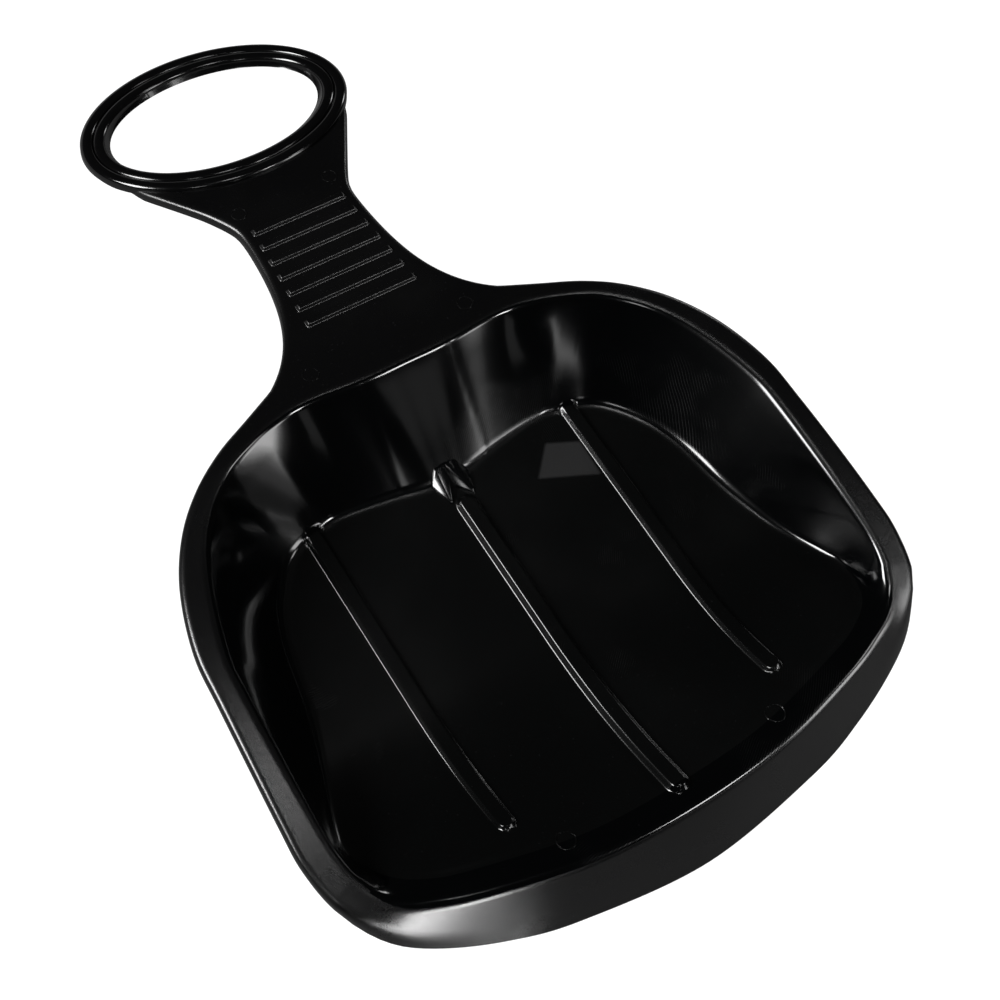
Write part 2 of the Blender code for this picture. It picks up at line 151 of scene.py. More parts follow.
ARCH_PEAK, ARCH_REAR, ARCH_REAR_HEIGHT = along(0.752), along(0.282), 0.0343
DROP_START, DROP_END = along(0.9), along(1.03)
TWIST_START, TWIST_END = along(0.221), along(0.051)
CREST, CREST_BLEND = 0.0273, 0.0004
SKIRT_DROP = 0.0154
CLIMB_START, CLIMB_END = along(0.451), along(0.117)
CLIMB, CLIMB_POWER, CLIMB_BLEND = 0.0215, 2.2, 0.004
DISHING = 0.38
RIB_AT = 0.067
RING_LENGTH, RING_WIDTH = 0.1015, 0.1341
HOLE_LENGTH, HOLE_WIDTH = 0.07, 0.106
RING_CENTRE = TIP - RING_LENGTH / 2
RING_REAR = TIP - RING_LENGTH
RING_REAR_HEIGHT, RING_TIP_HEIGHT = 0.0334, 0.0051
RING_STEP = 0.0026
NECK_END = RING_REAR - 0.0257
NECK_END_WIDTH = 0.0574
NECK_END_HEIGHT = 0.0347
NECK_DROP, NECK_BLEND = 0.0035, 0.001


def arch(y):
    """Height of the rim's and the neck's top."""
    if y < ARCH_PEAK:
        return RIM_TOP - (RIM_TOP - ARCH_REAR_HEIGHT) * ((y - ARCH_PEAK) / (ARCH_REAR - ARCH_PEAK)) ** 2
    drop = NECK_DROP * smooth_step((y - DROP_START) / (DROP_END - DROP_START))
    slope = (RIM_TOP - NECK_DROP - NECK_END_HEIGHT) / (NECK_END - DROP_START)
    return RIM_TOP - drop - slope * max(y - DROP_START, 0.0)


def rearness(y):
    """0 along the flat side rim and 1 along the skirt."""
    return smooth_step((TWIST_START - y) / (TWIST_START - TWIST_END))


def inner_height(y):
    """Height of the rim's inner edge, which is the crest at the rear."""
    return -smooth_min(-arch(y), -CREST, CREST_BLEND)


def floor_height(x, y):
    """Height of the floor's upper side, which climbs and is dished across towards the rear."""
    climb = max(CLIMB_START - y, 0.0) / (CLIMB_START - CLIMB_END)
    rise = CLIMB * climb**CLIMB_POWER * (1 + DISHING * (x / RIB_AT) ** 2)
    if rise == 0.0:
        return WALL
    return smooth_min(WALL + rise, CREST, CLIMB_BLEND * min(rise / CLIMB_BLEND, 1.0))


def ring_height(y):
    """Height of the crown of the ring's beads."""
    share = (y - RING_REAR) / RING_LENGTH
    return RING_REAR_HEIGHT + share * (RING_TIP_HEIGHT - RING_REAR_HEIGHT)


def neck_height(y):
    """Height of the neck's top, which runs on under the ring's beads."""
    return smooth_min(arch(y), ring_height(y) - RING_STEP, NECK_BLEND)


print("rim top at the thighs", round(arch(-0.04), 4), "neck at the ring", round(neck_height(RING_REAR), 4))

# %% [markdown]
# ## The neck's width
# The neck narrows in a hollow curve from the seat, and then widens in two straight edges that just touch the
# ring's outer oval. The place where they touch is worked out with the oval pressed back into a circle.

# %% Width formulas
NECK_JOIN = NECK_START + 0.018
NECK_HALF, NECK_FLARE, FLARE_LENGTH, WEB_BLEND = 0.0275, 0.03075, 0.0235, 0.003


def web_touch():
    """Where the straight edges of the web touch the ring's outer oval, and the turn round the oval there."""
    half_width, half_length = RING_WIDTH / 2, RING_LENGTH / 2
    start = Vector((NECK_END_WIDTH / 2 / half_width, (NECK_END - RING_CENTRE) / half_length))
    turn = math.atan2(start.y, start.x) + math.acos(1 / start.length)
    return half_width * math.cos(turn), RING_CENTRE + half_length * math.sin(turn), turn


TOUCH_X, TOUCH_Y, TOUCH_TURN = web_touch()


def neck_edge(y):
    """Half the width of the neck at a place on its length."""
    narrow = NECK_HALF + NECK_FLARE * math.exp((NECK_START - y) / FLARE_LENGTH)
    slope = (TOUCH_X - NECK_END_WIDTH / 2) / (TOUCH_Y - NECK_END)
    web = NECK_END_WIDTH / 2 + slope * (y - NECK_END)
    return -smooth_min(-narrow, -web, WEB_BLEND)


seat_curve = placed(SEAT_EDGE)
for step in range(CURVE_STEPS + 1):
    y = NECK_START + (NECK_JOIN - NECK_START) * step / CURVE_STEPS
    seat_curve.append(Vector((neck_edge(y), y)))
for step in range(1, CURVE_STEPS + 1):
    seat_curve.append(Vector((neck_edge(NECK_JOIN) * (1 - step / CURVE_STEPS), NECK_JOIN)))


def reader(half):
    """A function that gives the point of a half outline at the same heading from the middle as another point."""
    headings = [math.atan2(point.x, MIDDLE - point.y) for point in half]
    xs, ys = [point.x for point in half], [point.y for point in half]

    def read(point):
        heading = math.atan2(abs(point.x), MIDDLE - point.y)
        x = float(np.interp(heading, headings, xs))
        return math.copysign(x, point.x) if abs(point.x) > 1e-9 else 0.0, float(np.interp(heading, headings, ys))

    return read


print("the web touches the ring at", round(TOUCH_X, 4), round(TOUCH_Y, 4))

# %% [markdown]
# ## The floor
# The floor is a grid that is pulled to the foot of the wall on all four sides. Straight columns run where the
# ribs will stand, and lie close together under their flanks. So do the rows at the ribs' ends. A rib can then
# be raised from the grid without a cut. A Boolean would leave long thin faces, and they would show in a gloss
# this deep. Columns are placed in metres from the centre line, rows by their share of the way to the rear.

# %% Columns and rows of the floor
CENTRE_RIB = {"x": 0.0, "front": along(0.736), "rear": along(0.101), "base": 0.0106, "top": 0.006, "height": 0.0032}
SIDE_RIBS = [
    {"x": side * RIB_AT, "front": along(0.9), "rear": along(0.19), "base": 0.0087, "top": 0.0055, "height": 0.0024}
    for side in (-1, 1)
]
CORNER_FRONT, CORNER_REAR = Vector((0.0907, -0.0517)), Vector((0.1209, -0.168))
LAST_STRAIGHT = 0.073
LEANING_COLUMNS = 14
RIB_STEP = 0.0004
CREASE_STEP = 0.0008
COLUMN_SPANS = (
    (0.0, 0.0026, 0.0013), (0.0026, 0.0058, RIB_STEP), (0.0058, 0.0126, 0.0017), (0.0126, 0.0246, CREASE_STEP),
    (0.0246, 0.0621, 0.002), (0.0621, 0.0649, RIB_STEP), (0.0649, 0.0691, 0.0011), (0.0691, 0.0719, RIB_STEP),
)
ROW_SPANS = (
    (0.0, 0.06, 0.008), (0.06, 0.105, 0.0035), (0.105, 0.845, 0.018), (0.845, 0.93, 0.0017), (0.93, 1.0, 0.008),
)


def spread(low, high, step):
    """Evenly spaced values from low up to, and without, high."""
    count = max(round((high - low) / step), 1)
    return [low + (high - low) * i / count for i in range(count)]


right_columns = [(x, 0.0) for span in COLUMN_SPANS for x in spread(*span)]
right_columns += [(LAST_STRAIGHT, step / LEANING_COLUMNS) for step in range(LEANING_COLUMNS + 1)]
columns = [(-x, share) for x, share in right_columns[:0:-1]] + right_columns
rows = [share for span in ROW_SPANS for share in spread(*span)] + [1.0]
print(len(columns), "columns and", len(rows), "rows")

# %% [markdown]
# Each column has its front end on the foot's front curve and its rear end on the rear one. Outside the side
# ribs the columns lean out with the side walls, by a share that grows towards the wall. The grid stops a
# little inside the foot, where the rounding of the corner begins.

# %% Pull the grid to the foot of the wall
FOOT_ROUND = 0.004
SEAT_MIDDLE = Vector((0, MIDDLE))
foot_points = [tuple(point + (SEAT_MIDDLE - point).normalized() * FOOT_ROUND) for point in foot_curve]
front_foot = sorted(point for point in foot_points if point[1] >= CORNER_FRONT.y - 1e-4)
rear_foot = sorted(point for point in foot_points if point[1] <= CORNER_REAR.y + 1e-4)
side_foot = sorted((y, x) for x, y in foot_points if CORNER_REAR.y - 1e-3 <= y <= CORNER_FRONT.y + 1e-3)


def floor_point(column, row):
    """The place of a grid crossing on the floor."""
    x, share = column
    side = math.copysign(1, x)
    front_x = abs(x) + share * (CORNER_FRONT.x - LAST_STRAIGHT)
    rear_x = abs(x) + share * (CORNER_REAR.x - LAST_STRAIGHT)
    front_y = float(np.interp(front_x, *zip(*front_foot)))
    rear_y = float(np.interp(rear_x, *zip(*rear_foot)))
    y = front_y + (rear_y - front_y) * row
    corner_x = CORNER_FRONT.x + (CORNER_REAR.x - CORNER_FRONT.x) * row
    side_y = CORNER_FRONT.y + (CORNER_REAR.y - CORNER_FRONT.y) * row
    lean = float(np.interp(side_y, *zip(*side_foot))) - corner_x
    width = front_x + (rear_x - front_x) * row + share * lean
    return Vector((side * width if width else 0.0, y, floor_height(width, y)))


skin = bmesh.new()
across_layer = skin.verts.layers.float.new("across")
path_layer = skin.verts.layers.int.new("path")
bmesh.ops.create_grid(skin, x_segments=len(columns) - 1, y_segments=len(rows) - 1, size=1)
for vert in skin.verts:
    i = round((vert.co.x + 1) / 2 * (len(columns) - 1))
    j = round((1 - vert.co.y) / 2 * (len(rows) - 1))
    vert.co = floor_point(columns[i], rows[j])
print("floor grid:", len(skin.faces), "faces")

# %% [markdown]
# ## Walls and rim
# The open edge of the floor is extruded outwards, ring after ring: round the foot, up the wall, round the
# rim's inner edge and across the flange to the seat's outer edge. Plastic flows badly into sharp corners, so
# a mould rounds each of them. Every ring is read off the curves at the heading of the ring before, so the
# faces stay straight across the rim. Two faint upright creases in the front wall are drawn in as it is made.

# %% Extrude the wall and the flange
def open_edges(mesh):
    """The edges that only one face has."""
    return [edge for edge in mesh.edges if edge.is_boundary]


def extrude_edges(mesh, edges, place):
    """Extrudes open edges and puts each new vertex where place says. Returns the new vertices and edges."""
    made = bmesh.ops.extrude_edge_only(mesh, edges=edges)["geom"]
    verts = [item for item in made if isinstance(item, bmesh.types.BMVert)]
    for vert, target in [(vert, place(vert)) for vert in verts]:
        vert.co = target
    fresh = set(verts)
    return verts, [edge for edge in made if isinstance(edge, bmesh.types.BMEdge) and set(edge.verts) <= fresh]


def rounded(before, corner, after, reach, steps):
    """Points on a smooth curve that rounds a corner, from this far before it to this far after it."""
    start = corner + (before - corner).normalized() * reach
    end = corner + (after - corner).normalized() * reach
    shares = [step / steps for step in range(steps + 1)]
    return [start * (1 - t) ** 2 + corner * 2 * t * (1 - t) + end * t * t for t in shares]


RIM_ROUND = 0.003
FOOT_STEPS, WALL_STEPS, RIM_STEPS = 8, 6, 6
LIP = 0.005
FLANGE_START, FLANGE_END = 0.0035, 0.0039
SLANT, SLANT_START, SLANT_LENGTH = 0.0014, 0.01, 0.02
CREASE_AT, CREASE_WIDTH, CREASE_DEPTH = 0.022, 0.0016, 0.00013
foot_at, rim_at, seat_at = reader(foot_curve), reader(rim_curve), reader(seat_curve)


def cross_section(point):
    """The points from the floor's edge to the seat's outer edge, at the heading of a point."""
    foot_x, foot_y = foot_at(point)
    rim_x, rim_y = rim_at(point)
    seat_x, seat_y = seat_at(point)
    foot = Vector((foot_x, foot_y, floor_height(foot_x, foot_y)))
    x, y = Vector((foot_x, foot_y)).lerp(SEAT_MIDDLE, 0.08)
    before = Vector((x, y, floor_height(x, y)))
    crest = Vector((rim_x, rim_y, inner_height(rim_y)))
    width = (Vector((seat_x, seat_y, arch(seat_y) - SKIRT_DROP * rearness(seat_y))) - crest).length
    first = FLANGE_START / width
    slanted = SLANT * smooth_step((seat_y - SLANT_START) / SLANT_LENGTH)
    last = 1 - (FLANGE_END + slanted + LIP * rearness(seat_y)) / width
    flange = []
    for share in (first, first + (last - first) / 3, last - (last - first) / 3, last, 1.0):
        x, y = rim_x + share * (seat_x - rim_x), rim_y + share * (seat_y - rim_y)
        lift = (1 - share) * (inner_height(rim_y) - arch(rim_y)) - share * SKIRT_DROP * rearness(seat_y)
        flange.append(Vector((x, y, arch(y) + lift)))
    corners = rounded(before, foot, crest, FOOT_ROUND, FOOT_STEPS)
    edge = rounded(foot, crest, flange[0], RIM_ROUND, RIM_STEPS)
    face = [corners[-1].lerp(edge[0], step / WALL_STEPS) for step in range(1, WALL_STEPS)]
    for at in corners[1:] + face + edge[:-1]:
        if at.y > CORNER_FRONT.y:
            at.y += CREASE_DEPTH * math.exp(-(((abs(at.x) - CREASE_AT) / CREASE_WIDTH) ** 2))
    return corners + face + edge + flange


ring = open_edges(skin)
for index in range(1, len(cross_section(Vector((0, REAR, 0))))):
    edge_verts, ring = extrude_edges(skin, ring, lambda vert: cross_section(vert.co)[index])
for side in (-1, 1):
    corner = Vector((side * neck_edge(NECK_JOIN), NECK_JOIN, arch(NECK_JOIN)))
    min(edge_verts, key=lambda vert: (vert.co - corner).length).co = corner
print("skin to the seat's edge:", len(skin.faces), "faces")

# %% [markdown]
# ## Neck and web
# The straight part of that edge, across the root of the neck, is extruded forwards row by row. All vertices
# but the outermost two are first drawn together a little, which leaves room for the rounding of the lip.

# %% Extrude the neck
def across_neck(edges):
    """The edges that lie across the root of the neck."""
    return [edge for edge in edges if all(abs(vert.co.y - NECK_JOIN) < 1e-6 for vert in edge.verts)]


INNER_SHARE = 0.84
NECK_STEP = 0.0033
neck_rows = spread(NECK_JOIN, NECK_END, NECK_STEP)[1:] + [NECK_END]
ring = across_neck(ring)
row_verts = {vert for edge in ring for vert in edge.verts}
widths = sorted({abs(vert.co.x) for vert in row_verts})
for vert in row_verts:
    share = vert.co.x / widths[-1]
    if abs(share) < 0.9999:
        share = vert.co.x / widths[-2] * INNER_SHARE
    vert[across_layer] = share
    vert.co.x = share * widths[-1]
for y in neck_rows:
    row_verts, ring = extrude_edges(
        skin, ring, lambda vert: Vector((vert[across_layer] * neck_edge(y), y, neck_height(y)))
    )
print("neck:", len(neck_rows), "rows of", len(ring), "faces")

# %% [markdown]
# Between the neck and the ring the same rows carry on as the web. They bend little by little, until the last
# one follows the oval and lies hidden under the ring's beads, so that no gap can show between the two pieces.

# %% Bend the web to the ring
WEB_ROWS = 18
HALF_TURN = math.pi / 2 + TOUCH_TURN
WEB_END_SHARE = 0.35


def ring_point(turn, share):
    """A point of the ring's plan, at this share of the way from its hole to its outer edge."""
    half_width = (HOLE_WIDTH + share * (RING_WIDTH - HOLE_WIDTH)) / 2
    half_length = (HOLE_LENGTH + share * (RING_LENGTH - HOLE_LENGTH)) / 2
    return half_width * math.cos(turn), RING_CENTRE + half_length * math.sin(turn)


def web_point(across, reach):
    """A point of the web: across runs from -1 to 1, reach from 0 at the neck to 1 under the ring."""
    end_share = WEB_END_SHARE + (1 - WEB_END_SHARE) * abs(across) ** 3
    end_x, end_y = ring_point(across * HALF_TURN - math.pi / 2, end_share)
    start_x = neck_edge(NECK_END)
    straight_x = start_x + (TOUCH_X - start_x) * reach
    curved_x = neck_edge(NECK_END + (TOUCH_Y - NECK_END) * reach)
    x = (across * start_x * (1 - reach) + end_x * reach) * curved_x / straight_x
    y = NECK_END + (end_y - NECK_END) * reach
    return Vector((x, y, neck_height(y)))


for step in range(1, WEB_ROWS + 1):
    row_verts, ring = extrude_edges(skin, ring, lambda vert: web_point(vert[across_layer], step / WEB_ROWS))
web_end = set(ring)
print("web:", WEB_ROWS, "rows; skin:", len(skin.faces), "faces")

# %% [markdown]
# ## The turned edge
# The outer edge turns down in a short lip, which stiffens the flange. Along the rear the lip swings out until
# it only carries on the slope of the skirt. The corner is moved in by as much as the lip reaches out, so the
# outline stays where it was. Where the lip meets the ring it is tucked in and cut short, to end under it.

# %% Turn the lip down
LIP_ROUND, LIP_STEPS = 0.0031, 4
TUCK_START, TUCK_LENGTH = 0.014, 0.012
TUCK_IN, TUCK_SHORT = 0.0016, 0.35
chain = [edge for edge in open_edges(skin) if edge not in web_end]
chain_set = set(chain)
beside = {}
for edge in chain:
    for vert in edge.verts:
        beside.setdefault(vert, []).append(edge.other_vert(vert))


def lip_path(vert):
    """The rounded corner and the bottom of the lip, at one vertex of the outer edge."""
    ends = beside[vert]
    tangent = (ends[-1].co - (ends[0].co if len(ends) == 2 else vert.co)).normalized()
    inner = [edge.other_vert(vert).co for edge in vert.link_edges if edge not in chain_set]
    across = vert.co - sum(inner, Vector((0, 0, 0))) / len(inner)
    outward = (across - across.dot(tangent) * tangent).normalized()
    level = rearness(vert.co.y)
    down = (outward * level + Vector((0, 0, -1)) * (1 - level)).normalized()
    corner = vert.co - outward * LIP * level
    under_ring = smooth_step((vert.co.y - TOUCH_Y + TUCK_START) / TUCK_LENGTH)
    corner.x -= math.copysign(TUCK_IN, corner.x) * under_ring
    bottom = corner + down * LIP * (1 - TUCK_SHORT * under_ring)
    return rounded(corner - outward, corner, bottom, LIP_ROUND, LIP_STEPS) + [bottom]


edge_verts = list(beside)
paths = [lip_path(vert) for vert in edge_verts]
for index, vert in enumerate(edge_verts):
    vert[path_layer] = index
    vert.co = paths[index][0]
ring = chain
for step in range(1, len(paths[0])):
    _, ring = extrude_edges(skin, ring, lambda vert: paths[vert[path_layer]][step])
bmesh.ops.recalc_face_normals(skin, faces=skin.faces)
if sum(face.normal.z * face.calc_area() for face in skin.faces) < 0:
    bmesh.ops.reverse_faces(skin, faces=skin.faces)
print("lip:", len(chain), "faces long")

# %% [markdown]
# ## The wall's thickness
# A Solidify modifier gives the skin its 3 mm wall, inwards, and is then applied. The ribs come after it: a
# real rib is hollow underneath, so the upper side is raised and the lower side is grooved by less.

# %% Thicken the skin
def object_from(name, mesh_data):
    """Puts a mesh into the scene as an object at the origin."""
    made = bpy.data.objects.new(name, mesh_data)
    bpy.context.scene.collection.objects.link(made)
    return made


skin_mesh = bpy.data.meshes.new("skin")
skin.to_mesh(skin_mesh)
skin.free()
upper_count = len(skin_mesh.vertices)
moulding = object_from("moulding", skin_mesh)
wall = moulding.modifiers.new("wall", "SOLIDIFY")
wall.thickness = WALL
wall.offset = -1
wall.use_even_offset = True
evaluated = moulding.evaluated_get(bpy.context.evaluated_depsgraph_get())
body = bmesh.new()
body.from_mesh(bpy.data.meshes.new_from_object(evaluated))
moulding.modifiers.clear()
print("walls:", len(body.faces), "faces")

# %% [markdown]
# ## Ribs
# Three ribs run down the floor. Each has a flat top, steep flanks and a half-round end. The grid is raised by
# how far a vertex lies from the rib's middle line, which rounds the ends by itself. A vertex that already
# stands higher, as on the wall, stays where it is.

# %% Raise the ribs and cut their grooves
def rib_rise(rib, x, y, inset):
    """How far a rib stands above the floor at one place, with its sides moved in by an inset."""
    end = rib["base"] / 2
    beyond = max(y - (rib["front"] - end), (rib["rear"] + end) - y, 0.0)
    away = math.hypot(x - rib["x"], beyond)
    flank = (rib["base"] - rib["top"]) / 2
    share = min(max((rib["base"] / 2 - inset - away) / flank, 0.0), 1.0)
    return rib["height"] * smooth_step(share)


body.verts.ensure_lookup_table()
for index, vert in enumerate(body.verts):
    upper = index < upper_count
    for rib in (CENTRE_RIB, *SIDE_RIBS):
        slope = math.atan2(rib["height"], (rib["base"] - rib["top"]) / 2)
        inset = 0.0 if upper else WALL * math.tan(slope / 2)
        rise = rib_rise(rib, vert.co.x, vert.co.y, inset)
        if rise > 0:
            level = floor_height(vert.co.x, vert.co.y) - (0.0 if upper else WALL)
            vert.co.z = max(vert.co.z, level + rise)
print("ribs stand", CENTRE_RIB["height"] * 1000, "and", SIDE_RIBS[0]["height"] * 1000, "mm high")

# %% [markdown]
# ## Zones of finish
# The mould was polished inside the dish and left satin on the flange and the neck. Each face gets the number
# of its zone, read off the same curves that made it.

# %% Mark the zones
FLOOR_ZONE, WALL_ZONE, RIM_ZONE, UNDER_ZONE = range(4)


def inside(curve_at, point, spare):
    """Whether a point lies inside a half outline made wider by a spare width."""
    x, y = curve_at(point)
    reach = math.hypot(point.x, point.y - MIDDLE)
    return reach < math.hypot(x, y - MIDDLE) + spare


for face in body.faces:
    middle = face.calc_center_median()
    face.smooth = True
    if face.normal.z < -0.2 or not all(vert.index < upper_count for vert in face.verts):
        face.material_index = UNDER_ZONE
    elif inside(foot_at, middle, -0.001):
        face.material_index = FLOOR_ZONE
    elif inside(rim_at, middle, 0.0005):
        face.material_index = WALL_ZONE
    else:
        face.material_index = RIM_ZONE
counts = [sum(face.material_index == zone for face in body.faces) for zone in range(4)]
print("faces on the floor, wall, rim and underside:", counts)

# %% [markdown]
# ## Grip bars
# Seven low bars cross the neck where the fingers close. Each is a small grid laid over the neck and lifted to
# a bar with sloping flanks. Its edges and its foot are rounded, so that each bar shows two fine lines of
# light. The grid's border is then drawn down into the neck, and closed there.

# %% Add the grip bars
BARS, PITCH = 7, 0.0093
FIRST_BAR = RING_REAR - 0.0309
SHORTEST_BAR, BAR_GROWTH = 0.83, 0.14
BAR_WIDTH, BAR_HEIGHT, BAR_SLOPE, BAR_ROUND = 0.0042, 0.0016, 2.1, 0.0003
BAR_BORDER, BAR_TIP = 0.0005, 0.0022
TIP_STEP, FLANK_STEP = 0.0003, 0.00025
SUNK, BORDER_SUNK = 0.0012, 0.00006


def bar_rise(x, y, length):
    """How far a bar stands above the neck, at a place measured from the middle of the bar."""
    flank = smooth_min(BAR_WIDTH / 2 - abs(y), length / 2 - abs(x), BAR_ROUND) * BAR_SLOPE
    return -smooth_min(-smooth_min(flank, BAR_HEIGHT, BAR_ROUND), 0.0, BAR_ROUND)


def zone_of(mesh, verts, zone):
    """Gives the faces between these vertices a zone, and smooth shading."""
    chosen = set(verts)
    for face in mesh.faces:
        if set(face.verts) <= chosen:
            face.material_index = zone
            face.smooth = True


def edges_at(verts):
    """The edges at these vertices, each one once and in a fixed order."""
    return list(dict.fromkeys(edge for vert in verts for edge in vert.link_edges))


def add_bar(mesh, y, length):
    """Lifts a grid, fine at the tips and the flanks, to one bar on the neck."""
    half, reach = length / 2, BAR_WIDTH / 2 + BAR_BORDER
    lengthwise = spread(-half - BAR_BORDER, BAR_TIP - half, TIP_STEP) + [BAR_TIP - half]
    lengthwise += spread(half - BAR_TIP, half + BAR_BORDER, TIP_STEP) + [half + BAR_BORDER]
    crosswise = spread(-reach, reach, FLANK_STEP) + [reach]
    made = bmesh.ops.create_grid(mesh, x_segments=len(lengthwise) - 1, y_segments=len(crosswise) - 1, size=1)["verts"]
    for vert in made:
        dx = lengthwise[round((vert.co.x + 1) / 2 * (len(lengthwise) - 1))]
        dy = crosswise[round((vert.co.y + 1) / 2 * (len(crosswise) - 1))]
        rise = bar_rise(dx, dy, length)
        vert.co = Vector((dx, y + dy, neck_height(y + dy) + rise - BORDER_SUNK))
    border = [edge for edge in edges_at(made) if edge.is_boundary]
    lower, border = extrude_edges(mesh, border, lambda vert: vert.co - Vector((0, 0, SUNK)))
    bmesh.ops.edgeloop_fill(mesh, edges=border)
    zone_of(mesh, made + lower, RIM_ZONE)


for number in range(BARS):
    share = number / (BARS - 1)
    add_bar(body, FIRST_BAR - number * PITCH, NECK_END_WIDTH * (SHORTEST_BAR + BAR_GROWTH * share))
print("grip bars:", BARS)

# %% [markdown]
# ## Gate boss
# The plastic entered the mould at the foot of the front wall. A small fan of two prongs is left there, either
# side of the centre rib's end. Each prong is the tightest skin round a few corner points, from the convex
# hull operator, and the other is its mirror image. Three fine veins run up over the fan.

# %% Add the gate boss
BOSS_CORNERS = (
    (-0.0004, -0.0385, 0.0047), (0.006, -0.0459, 0.0039), (0.0095, -0.0344, 0.0046),
    (0.0052, -0.0293, 0.0078), (-0.0004, -0.0288, 0.0083), (-0.0004, -0.0385, 0.0020),
    (0.006, -0.0459, 0.0020), (0.0095, -0.0344, 0.0020), (0.0052, -0.0265, 0.0070), (-0.0004, -0.0262, 0.0075),
)
BOSS_VEINS = (
    ((-0.0006, -0.0378, 0.0048), (-0.0048, -0.0300, 0.0074)),
    ((0.0002, -0.0380, 0.0049), (-0.0012, -0.0290, 0.0082)),
    ((0.0024, -0.0360, 0.0052), (0.0030, -0.0288, 0.0081)),
)
BOSS_ROUND, VEIN_RADIUS = 0.0004, 0.0005
FLAT_ANGLE = math.radians(2)


def add_vein(mesh, start, end, radius):
    """A fine raised line between two points."""
    start, end = Vector(start), Vector(end)
    turn = (end - start).to_track_quat("Z", "Y").to_matrix().to_4x4()
    made = bmesh.ops.create_cone(
        mesh, cap_ends=True, segments=10, radius1=radius, radius2=radius, depth=(end - start).length,
        matrix=Matrix.Translation((start + end) / 2) @ turn,
    )["verts"]
    zone_of(mesh, made, WALL_ZONE)


for side in (-1, 1):
    prong = [body.verts.new((side * x, y, z)) for x, y, z in BOSS_CORNERS]
    hull = bmesh.ops.convex_hull(body, input=prong)["geom"]
    bmesh.ops.dissolve_limit(
        body, angle_limit=FLAT_ANGLE, verts=prong,
        edges=[item for item in hull if isinstance(item, bmesh.types.BMEdge)],
    )
    faces = list(dict.fromkeys(face for vert in prong if vert.is_valid for face in vert.link_faces))
    bmesh.ops.recalc_face_normals(body, faces=faces)
    for face in faces:
        face.material_index = WALL_ZONE
    edges = list(dict.fromkeys(edge for face in faces for edge in face.edges))
    bmesh.ops.bevel(
        body, geom=edges, offset=BOSS_ROUND, offset_type="OFFSET", segments=2,
        profile=0.5, affect="EDGES", clamp_overlap=True, material=-1,
    )
for start, end in BOSS_VEINS:
    add_vein(body, start, end, VEIN_RADIUS)
print("gate boss: two prongs and", len(BOSS_VEINS), "veins")

# %% [markdown]
# ## Pin marks
# Small round marks show where ejector pins pushed the part out of its mould. Each is a hair-thin ring: a
# tiny circle spun through a full turn, laid on the surface and sunk to half its height. The finished mesh is
# shaded smooth, except across edges that turn by more than a set angle.

# %% Add the pin marks
PIN_WIRE, PIN_SQUASH = 0.0003, 0.8
PIN_MARKS = (
    (0.0236, 0.116, 0.0034, RIM_ZONE), (0.0392, 0.0228, 0.0036, RIM_ZONE), (0.0522, -0.2014, 0.004, FLOOR_ZONE),
)
SHARP_ANGLE = math.radians(42)


def surface_height(x, y):
    """Height of the neck in front and of the floor behind."""
    return neck_height(y) if y > 0 else floor_height(x, y)


def add_pin_mark(mesh, x, y, radius, zone):
    """A thin ring of this radius that lies half sunk in the surface."""
    start = bmesh.ops.create_circle(mesh, segments=8, radius=PIN_WIRE, cap_ends=False)["verts"]
    bmesh.ops.rotate(mesh, verts=start, cent=(0, 0, 0), matrix=Matrix.Rotation(math.pi / 2, 3, "X"))
    bmesh.ops.translate(mesh, verts=start, vec=(radius, 0, 0))
    edges = edges_at(start)
    before = set(mesh.verts) - set(start)
    bmesh.ops.spin(
        mesh, geom=[*start, *edges], cent=(0, 0, 0), axis=(0, 0, 1), dvec=(0, 0, 0),
        angle=2 * math.pi, steps=40, use_merge=True, use_duplicate=False,
    )
    made = [vert for vert in mesh.verts if vert not in before]
    zone_of(mesh, made, zone)
    for vert in made:
        vert.co.x, vert.co.y = vert.co.x + x, vert.co.y + y
        vert.co.z = vert.co.z * PIN_SQUASH + surface_height(vert.co.x, vert.co.y)


for x, y, radius, zone in PIN_MARKS:
    for side in (-1, 1):
        add_pin_mark(body, side * x, y, radius, zone)
body.to_mesh(skin_mesh)
body.free()
skin_mesh.set_sharp_from_angle(angle=SHARP_ANGLE)
print("moulding:", len(skin_mesh.polygons), "faces")

# %% [markdown]
# ## Hand ring
# The ring is an oval grip of two round beads side by side on a flat underside. Its section is drawn once as
# a closed line and spun through a full turn. The round ring is then pressed into the two ovals of the hole
# and the outer edge, which differ a little in shape, and tilted down towards its tip. The two beads meet in
# one point of the valley between them, so its second copy is deleted.

# %% Spin the ring
BAND = (RING_WIDTH - HOLE_WIDTH) / 2
HOLE_DRAFT = 0.0018
BEAD_RISE, VALLEY_DEPTH = 0.0028, 0.0018
GRIP_DEPTH, EDGE_DEPTH, UNDER_DEPTH = 0.005, 0.0047, 0.004925
BEAD_STEPS, RING_TURNS = 14, 160
WEB_FADE = 0.012


def edge_depth(y):
    """How far the ring's outer side goes down: deepest where it meets the underside of the web."""
    web = smooth_step((TOUCH_Y + WEB_FADE - y) / WEB_FADE)
    return EDGE_DEPTH + web * (RING_STEP + WALL - EDGE_DEPTH)


